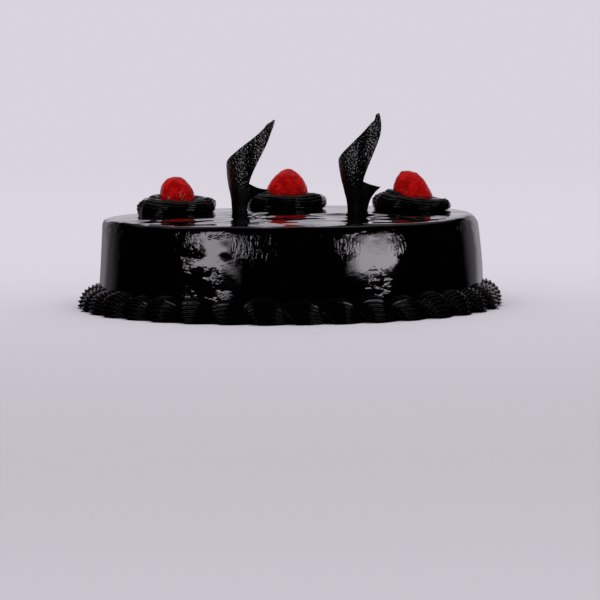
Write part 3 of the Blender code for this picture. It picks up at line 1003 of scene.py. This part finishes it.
CAMERA_PLACE = (0.0, -1.400, 0.1265)
CAMERA_DOWN = 5.05
CAMERA_PAN = -0.209
CAMERA_ROLL = -0.5
CAMERA_FOCAL_PIXELS = 2602
CAMERA_SIGHT = 20
PICTURE_WIDTH = 600
SENSOR_WIDTH = 36.0
PAPER_REACH = 6.0
CARD_PLACE = 1.2
CARD_HALF_WIDTH = 2.05
CARD_LOW = -0.9
CARD_HIGH = 0.7
SWEEP_START = 1.7
SWEEP_RADIUS = 0.9
SWEEP_TOP = 1.5
GLOW_REACH = 1.10  # how far the floor's glow reaches from the middle of the cake
SIDE_OF_CAKE = 0.10  # the x from which the glow at the cake's sides is reckoned
SOFTBOX_DISTANCE = 1.6
SOFTBOX_TURN_LEFT = 48.3
SOFTBOX_TURN_RIGHT = 50.3
SOFTBOX_WIDTH = 1.15
SOFTBOX_LOW = 0.080
SOFTBOX_HIGH = 0.40
# Shares of the width and the height over which a softbox fades out: at its outer or lower edge, and at the other
SOFTBOX_EDGES = {"X": (0.16, 0.32), "Y": (0.13, 0.66)}
SUN_ANGLE = 75.0
SUN_TILT = 18.0


def add_camera():
    data = bpy.data.cameras.new("camera")
    data.sensor_width = SENSOR_WIDTH
    data.lens = CAMERA_FOCAL_PIXELS / PICTURE_WIDTH * SENSOR_WIDTH
    data.clip_end = CAMERA_SIGHT
    turn = Matrix.Identity(4)
    for degrees, axis in ((CAMERA_PAN, "Z"), (90 - CAMERA_DOWN, "X"), (CAMERA_ROLL, "Z")):
        turn = turn @ Matrix.Rotation(math.radians(degrees), 4, axis)
    camera = in_scene("camera", data)
    camera.matrix_world = Matrix.Translation(CAMERA_PLACE) @ turn
    bpy.context.scene.camera = camera


def add_softbox(name, turn, brightness, tint):
    """An upright softbox that faces the cake from a direction, seen only in reflections. Its edges are soft."""
    height = SOFTBOX_HIGH - SOFTBOX_LOW
    data = bpy.data.lights.new(name, "AREA")
    data.shape = "RECTANGLE"
    data.size = SOFTBOX_WIDTH
    data.size_y = height
    data.energy = math.pi * SOFTBOX_WIDTH * height * brightness
    data.color = tint
    data.use_nodes = True
    nodes = Nodes(data.node_tree)
    across = nodes.add("ShaderNodeNewGeometry", out="Parametric")
    fade = 1
    for axis, (first, second) in SOFTBOX_EDGES.items():
        share = nodes.axis(across, axis)
        if axis == "X" and turn > 0:
            share = 1 - share
        fade = fade * nodes.step(share, 0.0, first) * (1 - nodes.step(share, 1 - second, 1.0))
    nodes.feed(data.node_tree.nodes["Emission"].inputs["Strength"], fade)
    light = in_scene(name, data)
    way = Vector((math.sin(math.radians(turn)), -math.cos(math.radians(turn)), 0))
    middle = way * SOFTBOX_DISTANCE + Vector((0, 0, (SOFTBOX_HIGH + SOFTBOX_LOW) / 2))
    light.matrix_world = Matrix.Translation(middle) @ way.to_track_quat("Z", "Y").to_matrix().to_4x4()
    light.visible_camera = False
    light.visible_diffuse = False


def add_skylight(stage):
    """Soft light from above, a little from the front, that mirrors don't show."""
    data = bpy.data.lights.new("skylight", "SUN")
    data.energy = math.pi * stage.room_light * (1 - stage.ambient) / math.cos(math.radians(SUN_TILT))
    data.angle = math.radians(SUN_ANGLE)
    light = in_scene("skylight", data)
    light.rotation_euler = (math.radians(SUN_TILT), 0, 0)
    light.visible_glossy = False


def paper(name, half_width, line, finish):
    """A sheet of paper that follows a line of (y, z)."""
    points = [(x, y, z) for y, z in line for x in (-half_width, half_width)]
    faces = [[2 * i, 2 * i + 1, 2 * i + 3, 2 * i + 2] for i in range(len(line) - 1)]
    sheet = shape(name, points, faces, finish)
    return sheet


def add_world(stage):
    """The room: pale past the paper, even for matt surfaces, and in mirrors dark with a bright ceiling behind."""
    world = bpy.data.worlds.new("room")
    world.use_nodes = True
    bpy.context.scene.world = world
    nodes = Nodes(world.node_tree)
    seen = nodes.add("ShaderNodeLightPath", out="Is Camera Ray")
    mirrored = nodes.add("ShaderNodeLightPath", out="Is Glossy Ray")
    way = nodes.add("ShaderNodeTexCoord", out="Generated")
    back = nodes.step(nodes.axis(way, "Y"), -0.20, 0.30)
    glow = 0.002 + stage.ceiling * back * nodes.step(nodes.axis(way, "Z"), 0.42, 0.85)
    mirror = nodes.mix(glow, BLACK, rgba(stage.softbox_tint))
    even = nodes.mix(mirrored, rgba((stage.room_light * stage.ambient,) * 3), mirror)
    nodes.feed(world.node_tree.nodes["Background"].inputs["Color"], nodes.mix(seen, even, rgba(stage.paper)))


class CAKE_OT_stage(bpy.types.Operator):
    """Lays the pale floor and backdrop, and sets the lights, the room and the camera"""

    bl_idname = "cake.stage"
    bl_label = "Stage"

    def execute(self, context):
        stage = context.scene.cake_stage
        sweep = [(SWEEP_START + SWEEP_RADIUS * math.sin(a), SWEEP_RADIUS * (1 - math.cos(a)))
                 for a in np.radians(np.linspace(0, 90, 40))]
        line = [(-PAPER_REACH, 0.0), *sweep, (SWEEP_START + SWEEP_RADIUS, SWEEP_TOP)]
        studio = paper("paper", PAPER_REACH, line, paper_finish(stage))
        studio.visible_glossy = False
        upright = [(CARD_PLACE, CARD_LOW), (CARD_PLACE, CARD_HIGH)]
        card = paper("card", CARD_HALF_WIDTH, upright, card_finish(stage))
        glow = paper("floor_glow", GLOW_REACH, [(-GLOW_REACH, 0.0), (GLOW_REACH, 0.0)], glow_finish(stage))
        for shown_in_mirrors in (card, glow):
            shown_in_mirrors.visible_camera = False
            shown_in_mirrors.visible_diffuse = False
            shown_in_mirrors.visible_shadow = False
        add_softbox("softbox_left", -SOFTBOX_TURN_LEFT, stage.left_softbox, stage.softbox_tint)
        add_softbox("softbox_right", SOFTBOX_TURN_RIGHT, stage.right_softbox, stage.softbox_tint)
        add_skylight(stage)
        add_world(stage)
        add_camera()
        context.scene.view_settings.view_transform = "Standard"
        return {"FINISHED"}


# The add-on

SETTINGS = {
    "cake_looks": LooksSettings,
    "cake_body": BodySettings,
    "cake_border": BorderSettings,
    "cake_nests": NestSettings,
    "cake_cherries": CherrySettings,
    "cake_sails": SailSettings,
    "cake_stage": StageSettings,
}
OPERATORS = [CAKE_OT_body, CAKE_OT_border, CAKE_OT_nests, CAKE_OT_cherries, CAKE_OT_sails, CAKE_OT_stage]


class CAKE_PT_panel(bpy.types.Panel):
    """The cake's settings and the steps that build it"""

    bl_label = "Chocolate cake"
    bl_idname = "CAKE_PT_panel"
    bl_space_type = "VIEW_3D"
    bl_region_type = "UI"
    bl_category = "Cake"

    def draw(self, context):
        for name, group in SETTINGS.items():
            box = self.layout.box()
            settings = getattr(context.scene, name)
            for key in group.__annotations__:
                box.prop(settings, key)
        for operator in OPERATORS:
            self.layout.operator(operator.bl_idname)


def register():
    for kind in [*SETTINGS.values(), *OPERATORS, CAKE_PT_panel]:
        bpy.utils.register_class(kind)
    for name, group in SETTINGS.items():
        setattr(bpy.types.Scene, name, bpy.props.PointerProperty(type=group))


def unregister():
    for name in SETTINGS:
        delattr(bpy.types.Scene, name)
    for kind in reversed([*SETTINGS.values(), *OPERATORS, CAKE_PT_panel]):
        bpy.utils.unregister_class(kind)


def main():
    register()
    for operator in OPERATORS:
        group, name = operator.bl_idname.split(".")
        getattr(getattr(bpy.ops, group), name)()


if __name__ == "__main__":
    main()
